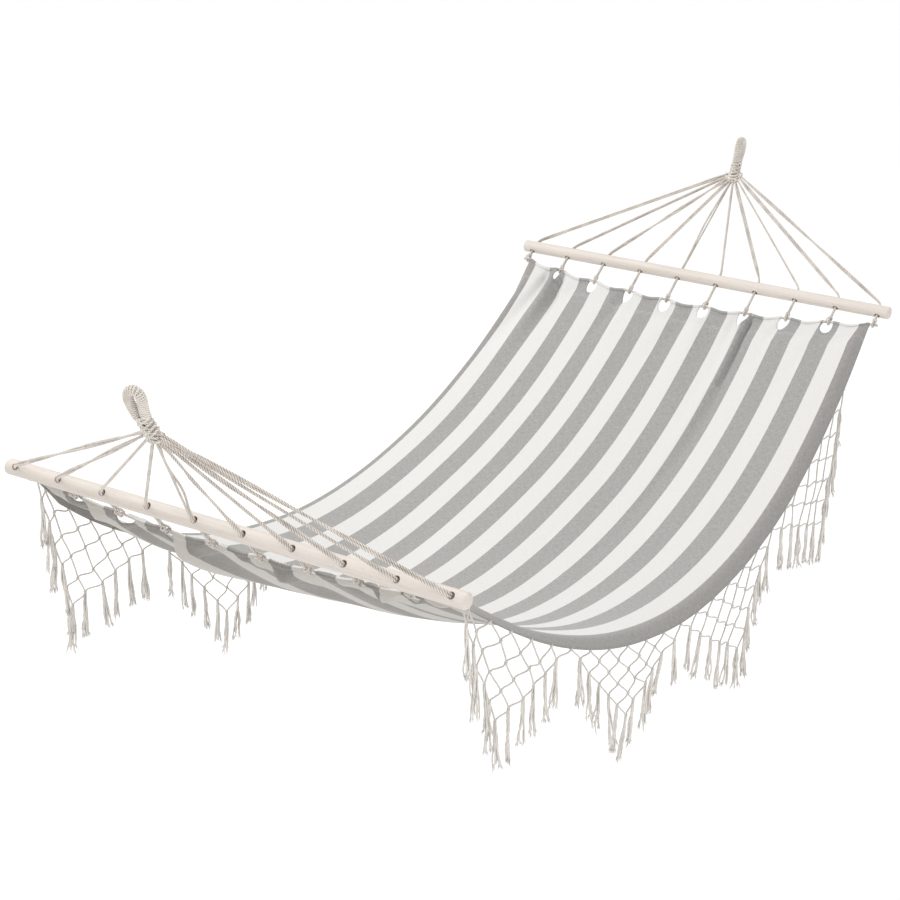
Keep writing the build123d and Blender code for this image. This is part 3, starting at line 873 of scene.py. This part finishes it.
from_edge = hem_s(flat_u) + sleeve_radius - np.abs(flat_s)
from_side = (0.5 - np.abs(flat_u)) * 2 * half_width_at(flat_s)
half_thick = np.full(len(flat), cloth_half)
half_thick += (doubled_half - cloth_half) * np.clip((hem_depth - from_edge) / (2 * MM) + 0.5, 0, 1)
side_thick = cloth_half + (doubled_half - cloth_half) * np.clip((side_hem - from_side) / (5 * MM), 0, 1)
half_thick = np.maximum(half_thick, side_thick)
stitch_line = edge_bumps(from_edge, hem_depth - 6 * MM, 2.2 * MM)
stitch_line += edge_bumps(from_side, side_hem - 8 * MM, 4 * MM)
half_thick -= 0.3 * MM * np.clip(stitch_line, 0, 1)
in_sleeve = np.clip(from_edge, 0, 2 * sleeve_radius)
bead = np.sqrt(np.maximum(sleeve_radius**2 - (in_sleeve - sleeve_radius) ** 2, 0))
bead = np.maximum(bead, np.where(from_edge > sleeve_radius, half_thick, 0.3 * MM))
half_thick = np.where(from_edge < 2 * sleeve_radius, bead, half_thick)
upper = surface + point_normals * half_thick[:, None]
lower = surface - point_normals * half_thick[:, None]

count = len(flat)
all_sides = np.concatenate([triangles[:, [corner, (corner + 1) % 3]] for corner in range(3)])
sides_used, uses = np.unique(np.sort(all_sides, axis=1), axis=0, return_counts=True)
rim_pairs = {tuple(pair) for pair in sides_used[uses == 1]}
rim = []
for corner in range(3):
    for a, b in triangles[:, [corner, (corner + 1) % 3]]:
        if (min(a, b), max(a, b)) in rim_pairs:
            rim.append((b, a, a + count, b + count))
rim = np.array(rim)
cloth_faces = [*triangles.tolist(), *(triangles[:, ::-1] + count).tolist(), *rim.tolist()]
bed_mesh = bpy.data.meshes.new("bed_cloth")
bed_mesh.from_pydata(np.concatenate([upper, lower]).tolist(), [], cloth_faces)
uv_layer = bed_mesh.uv_layers.new(name="UVMap")
flat_twice = np.concatenate([flat, flat])
loop_points = np.concatenate([np.array(face) for face in cloth_faces])
uv_layer.data.foreach_set("uv", flat_twice[loop_points].astype(np.float32).ravel())
bed_mesh.polygons.foreach_set("use_smooth", np.ones(len(bed_mesh.polygons), bool))
# The underside attribute marks the lower face, which the material darkens with painted shade
for attribute_name, values in (("from_end", from_edge), ("from_side", from_side), ("underside", None)):
    attribute = bed_mesh.attributes.new(attribute_name, "FLOAT", "POINT")
    values = np.arange(2 * count) >= count if values is None else np.concatenate([values, values])
    attribute.data.foreach_set("value", values.astype(np.float32))
bed = bpy.data.objects.new("bed_cloth", bed_mesh)
bpy.context.scene.collection.objects.link(bed)

cloth_material = bpy.data.materials.new("striped_cotton")
cloth_material.use_nodes = True
tree = cloth_material.node_tree
cloth_shader = tree.nodes["Principled BSDF"]
uv = add_node(tree, "ShaderNodeTexCoord").outputs["UV"]
uv_parts = add_node(tree, "ShaderNodeSeparateXYZ", {0: uv})
from_right = math_node(tree, "ADD", uv_parts.outputs[0], 0.5)
stripe_place = math_node(tree, "MULTIPLY", from_right, float(stripe_count))
wobble = add_node(tree, "ShaderNodeTexNoise", {"Vector": uv}, Scale=900.0, Detail=1.0)
ragged = math_node(tree, "MULTIPLY", math_node(tree, "SUBTRACT", wobble.outputs[0], 0.5), 0.035)
stripe_place = math_node(tree, "ADD", stripe_place, ragged)
is_white = math_node(tree, "GREATER_THAN", math_node(tree, "MODULO", stripe_place, 2.0), 1.0)
thread = 1100.0
warp = math_node(tree, "SINE", math_node(tree, "MULTIPLY", uv_parts.outputs[0], thread * pi * 2))
weft = math_node(tree, "SINE", math_node(tree, "MULTIPLY", uv_parts.outputs[1], thread * pi * 2))
weave = math_node(tree, "MULTIPLY", warp, weft)
slub_ways = []
for stretch in ((0.12, 1.0, 1.0), (1.0, 0.12, 1.0)):
    drawn_out = add_node(tree, "ShaderNodeMapping", {"Vector": uv})
    drawn_out.inputs["Scale"].default_value = stretch
    slub_ways.append(add_node(
        tree, "ShaderNodeTexNoise", {"Vector": drawn_out.outputs[0]}, Scale=650.0, Detail=3.0, Roughness=0.7
    ))
slubs = math_node(tree, "ADD", slub_ways[0].outputs[0], slub_ways[1].outputs[0])
mottle = map_range(tree, slubs, 0.72, 1.28, 0.0, 1.0)
grey_yarn = mixed(tree, mottle, (0.225, 0.221, 0.213, 1), (0.385, 0.378, 0.364, 1))
white_yarn = mixed(tree, mottle, (0.59, 0.582, 0.565, 1), (0.655, 0.647, 0.63, 1))
striped = mixed(tree, is_white, grey_yarn, white_yarn)
from_end_place, from_side_place, is_underside = (
    add_node(tree, "ShaderNodeAttribute", attribute_name=attribute_name).outputs["Fac"]
    for attribute_name in ("from_end", "from_side", "underside")
)
# Painted shade: the doubled cloth of the hems is darkened because it lets less light through, and the whole
# underside is darkened as if in shade
end_hem = math_node(tree, "LESS_THAN", from_end_place, hem_depth)
side_hems = math_node(tree, "LESS_THAN", from_side_place, side_hem)
hemmed = mixed(tree, end_hem, striped, (0.985, 0.98, 0.975, 1), "MULTIPLY")
hemmed = mixed(tree, side_hems, hemmed, (0.90, 0.88, 0.87, 1), "MULTIPLY")
# Painted shade over the whole underside
hemmed = mixed(tree, is_underside, hemmed, (0.73, 0.70, 0.67, 1), "MULTIPLY")
# Two rows of stitches hold each end hem
stitch_dash = math_node(tree, "FRACT", math_node(tree, "MULTIPLY", uv_parts.outputs[0], 260.0))
stitch_dash = math_node(tree, "LESS_THAN", stitch_dash, 0.62)
for row_place in (hem_depth - 2.5 * MM, hem_depth - 7 * MM):
    off_row = math_node(tree, "ABSOLUTE", math_node(tree, "SUBTRACT", from_end_place, row_place))
    on_row = math_node(tree, "MULTIPLY", math_node(tree, "LESS_THAN", off_row, 0.55 * MM), stitch_dash)
    hemmed = mixed(tree, math_node(tree, "MULTIPLY", on_row, 0.6), hemmed, (0.60, 0.595, 0.585, 1))
tree.links.new(hemmed, cloth_shader.inputs["Base Color"])
height = math_node(tree, "MULTIPLY_ADD", weave, 0.35)
tree.links.new(slubs, height.node.inputs[2])
cloth_bump = add_node(tree, "ShaderNodeBump", {"Height": height}, Strength=0.35, Distance=0.0003)
tree.links.new(cloth_bump.outputs[0], cloth_shader.inputs["Normal"])
cloth_shader.inputs["Roughness"].default_value = 0.88
cloth_shader.inputs["Specular IOR Level"].default_value = 0.2
cloth_shader.inputs["Sheen Weight"].default_value = 0.2
cloth_shader.inputs["Sheen Roughness"].default_value = 0.5
bed_mesh.materials.append(cloth_material)

# ---- Side nets ----
# Knotted cotton cord hangs from both long sides in four pointed parts, six meshes wide and six rows deep.
# The cords that run down from the higher end carry the weight and hang straight, and the ones across them
# bend into a lazy S. The free knots of each part carry tassels of soft yarn.
mesh_pitch, rows_deep, points_a_side = 77.3 * MM, 6, 4
fringe_start, first_tie = -1.047, -1.0      # lengths from the bed's middle; nothing is tied beyond the second
net_cord_radius = 1.8 * MM
# Where the tip of each point hangs, from the foot to the head
net_tips = {
    1: ((-0.829, 0.475, -0.328), (-0.336, 0.49, -0.546), (0.168, 0.49, -0.555), (0.64, 0.485, -0.425)),
    -1: ((-0.782, -0.458, -0.309), (-0.329, -0.49, -0.495), (0.168, -0.505, -0.559), (0.636, -0.5, -0.43)),
}
# net_shade and tassel_shade are painted shade for the grooves between the plies
net_light, net_shade = (0.66, 0.63, 0.59, 1), (0.36, 0.325, 0.29, 1)
net_cotton = yarn_material("net_cotton", net_light, net_shade, lay=7 * MM, bump=0.0004)
tassel_light, tassel_shade = (0.73, 0.70, 0.66, 1), (0.48, 0.445, 0.405, 1)
tassel_cotton = yarn_material("tassel_cotton", tassel_light, tassel_shade, plies=4, lay=60 * MM)
yarn_swell = np.array([0.75, 0.85, 0.95, 1.05, 1.1, 1.1, 1.1, 1.05, 0.8])


def side_edge(s, side):
    """Points on the cloth's long edge at lengths s from the middle."""
    points = cloth_points(np.full(len(s), side * 0.5), np.asarray(s, float))
    return points + [0, -side * 1.5 * MM, -1.0 * MM]


def net_cord(high, low, slack, scatter):
    """A cord between two knots: straight, or leaving both of them downwards and level in between."""
    share = np.linspace(0, 1, 13)[:, None]
    chord = low - high
    lead = chord * (1 - slack) + np.array([0, 0, -1.15]) * np.linalg.norm(chord) * slack
    leads = lead + scatter.normal(0, 5 * MM, (2, 3)) * [1, 1, 0.6]
    return (
        high * (2 * share**3 - 3 * share**2 + 1) + low * (3 * share**2 - 2 * share**3)
        + leads[0] * (share**3 - 2 * share**2 + share) + leads[1] * (share**3 - share**2)
    )


def hang_net(side, seed):
    """The net's cords, its knots, the places where it's tied to the cloth, and where its tassels hang."""
    scatter = np.random.default_rng(seed)
    ties = np.maximum(fringe_start + mesh_pitch * np.arange(points_a_side * rows_deep + 1), first_tie)
    tops = side_edge(ties, side)
    cords, knots, tassel_tops = [], [], []
    for point, tip_place in enumerate(net_tips[side]):
        tip = np.array(at(*tip_place))
        edge_points = tops[point * rows_deep:(point + 1) * rows_deep + 1]
        row_above = [place + [(1.2 * (step == 0) - 1.2 * (step == rows_deep)) * MM, 0, 0]
                     for step, place in enumerate(edge_points)]
        for row in range(1, rows_deep + 1):
            row_here = []
            for step in range(rows_deep + 1 - row):
                across = step / max(rows_deep - row, 1) * rows_deep
                above = np.array([
                    np.interp(across, np.arange(rows_deep + 1), edge_points[:, axis]) for axis in range(3)
                ])
                share = row / rows_deep
                place = above * (1 - share) + tip * share
                place += scatter.normal(0, 1, 3) * [2.6 * MM, 2.5 * MM, 2.2 * MM] * (row < rows_deep)
                row_here.append(place)
                for family in (0, 1):
                    carries = family == (point >= points_a_side / 2)
                    slack = scatter.uniform(0.02, 0.12) if carries else scatter.uniform(0.42, 0.62)
                    cords.append(net_cord(row_above[step + family], place, slack, scatter))
            knots += row_here
            tassel_tops += [row_here[0], row_here[-1]][:len(row_here)]
            row_above = row_here
    return np.array(cords), np.array(knots), tops, np.array(tassel_tops)


def small_knots(centres, directions, radius):
    """A tight knot at each centre: two crossing turns of cord."""
    turn = np.linspace(0, 2 * pi, 9)
    directions = unit(directions)
    side_ways = unit(np.cross(directions, np.array([0.0, 1.0, 0.0])))
    lines = []
    for tilt in (-0.7, 0.7):
        axis_a = side_ways * cos(tilt) + directions * sin(tilt)
        ring = (
            centres[:, None] + radius * np.cos(turn)[None, :, None] * axis_a[:, None]
            + radius * np.sin(turn)[None, :, None] * np.array([0.0, 1.0, 0.0])
        )
        lines.append(ring)
    return laid_cords(np.concatenate(lines), radius * 0.62, sides=6, plies=1, groove=0.0)


def tassel_strands(tops, seed):
    """The yarns of each tassel: bound at the knot, loose below, and frayed where they are cut."""
    scatter = np.random.default_rng(seed)
    strands, widths, ends, end_widths = [], [], [], []
    steps = np.linspace(0, 1, 9)
    for top in tops:
        count = scatter.integers(4, 8) + 1
        sway, open_out = scatter.normal(0, 4 * MM, 2), scatter.uniform(4.5, 10.5) * MM
        length_here = scatter.uniform(88, 99) * MM
        for strand in range(count):
            angle = 2 * pi * (strand + scatter.uniform(-0.3, 0.3)) / count
            length = length_here * scatter.normal(1.0, 0.03)
            foot = np.array([cos(angle), 0.7 * sin(angle)]) * open_out + sway
            waves = scatter.normal(0, 1.3 * MM, (3, 2))
            path = np.zeros((len(steps), 3))
            for axis in (0, 1):
                path[:, axis] = (
                    1.8 * MM * (cos(angle), sin(angle))[axis] * np.exp(-((steps - 0.1) / 0.3) ** 2)
                    + foot[axis] * steps**1.4
                    + sum(waves[k, axis] * np.sin(pi * (k + 1) * steps) for k in range(3)) * steps**0.5
                )
            path[:, 2] = -length * steps
            path += top
            strands.append(path)
            widths.append(yarn_swell * scatter.normal(1, 0.06))
            along = unit(path[-1] - path[-2])
            for _ in range(4):
                outward = scatter.normal(0, 1, 3) * [1, 1, 0.2]
                tip = path[-1] + along * scatter.uniform(5, 11) * MM + outward * 1.3 * MM
                start = path[-1] - along * 4 * MM + outward * 0.3 * MM
                bow = (start + tip) / 2 + outward * 0.9 * MM
                ends.append(np.stack([start, bow, tip]))
                end_widths.append([1.0, 0.8, 0.35])
    yarns = laid_cords(np.array(strands), 1.85 * MM, sides=6, plies=2, lay=40 * MM, groove=0.12, taper=widths)
    frayed = laid_cords(np.array(ends), 0.55 * MM, sides=4, plies=1, groove=0.0, taper=end_widths)
    return [yarns, frayed]


fringe = []
for side_name, side, seed in (("left", 1, 11), ("right", -1, 23)):
    cords, knots, ties, tassel_tops = hang_net(side, seed)
    centres = np.concatenate([knots, ties])
    groups = [
        laid_cords(cords, net_cord_radius, sides=8, plies=3, lay=7 * MM, groove=0.2),
        small_knots(centres, np.tile([0.3, 0.0, -1.0], (len(centres), 1)), 2.2 * MM),
    ]
    net = mesh_piece(f"{side_name}_net", groups, net_cotton)
    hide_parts(f"{side_name}_net_foot", f"{side_name}_net_head")
    tassels = mesh_piece(f"{side_name}_tassels", tassel_strands(tassel_tops, seed + 1), tassel_cotton)
    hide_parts(f"{side_name}_tassels_foot", f"{side_name}_tassels_head")
    fringe += [net, tassels]

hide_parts("bed_cloth_foot", "bed_cloth_head")
for piece in [bed, *fringe]:
    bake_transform(piece)

# ---- Floor, light and surroundings ----
# A plain pale studio: a wide floor 1 m under the hanging hammock, a bright even surround, one large soft
# light high on its left and a fainter one on its right.
floor_drop = 1.0
bpy.ops.mesh.primitive_plane_add(size=120, location=(middle.x, 0, cad_low.z - floor_drop))
floor = bpy.context.object
floor.name = "studio_floor"
floor_paint = bpy.data.materials.new("studio_floor")
floor_paint.use_nodes = True
floor_shader = floor_paint.node_tree.nodes["Principled BSDF"]
floor_shader.inputs["Base Color"].default_value = (1.0, 1.0, 1.0, 1)
floor_shader.inputs["Roughness"].default_value = 0.9
floor.data.materials.append(floor_paint)

bpy.context.scene.view_settings.view_transform = "Standard"
world = bpy.data.worlds.new("studio")
bpy.context.scene.world = world
world.use_nodes = True
world.node_tree.nodes["Background"].inputs["Color"].default_value = (1, 1, 1, 1)
world.node_tree.nodes["Background"].inputs["Strength"].default_value = 1.0


def soft_light(name, place, size, power):
    data = bpy.data.lights.new(name, "AREA")
    data.shape = "DISK"
    data.size = size
    data.energy = power
    light = bpy.data.objects.new(name, data)
    light.location = middle + Vector(place)
    light.rotation_mode = "QUATERNION"
    light.rotation_quaternion = (-Vector(place)).to_track_quat("-Z", "Y")
    bpy.context.scene.collection.objects.link(light)


soft_light("key_light", (-1.0, 3.0, 3.2), 1.6, 95)
soft_light("fill_light", (-3.0, -3.0, 2.0), 2.5, 40)
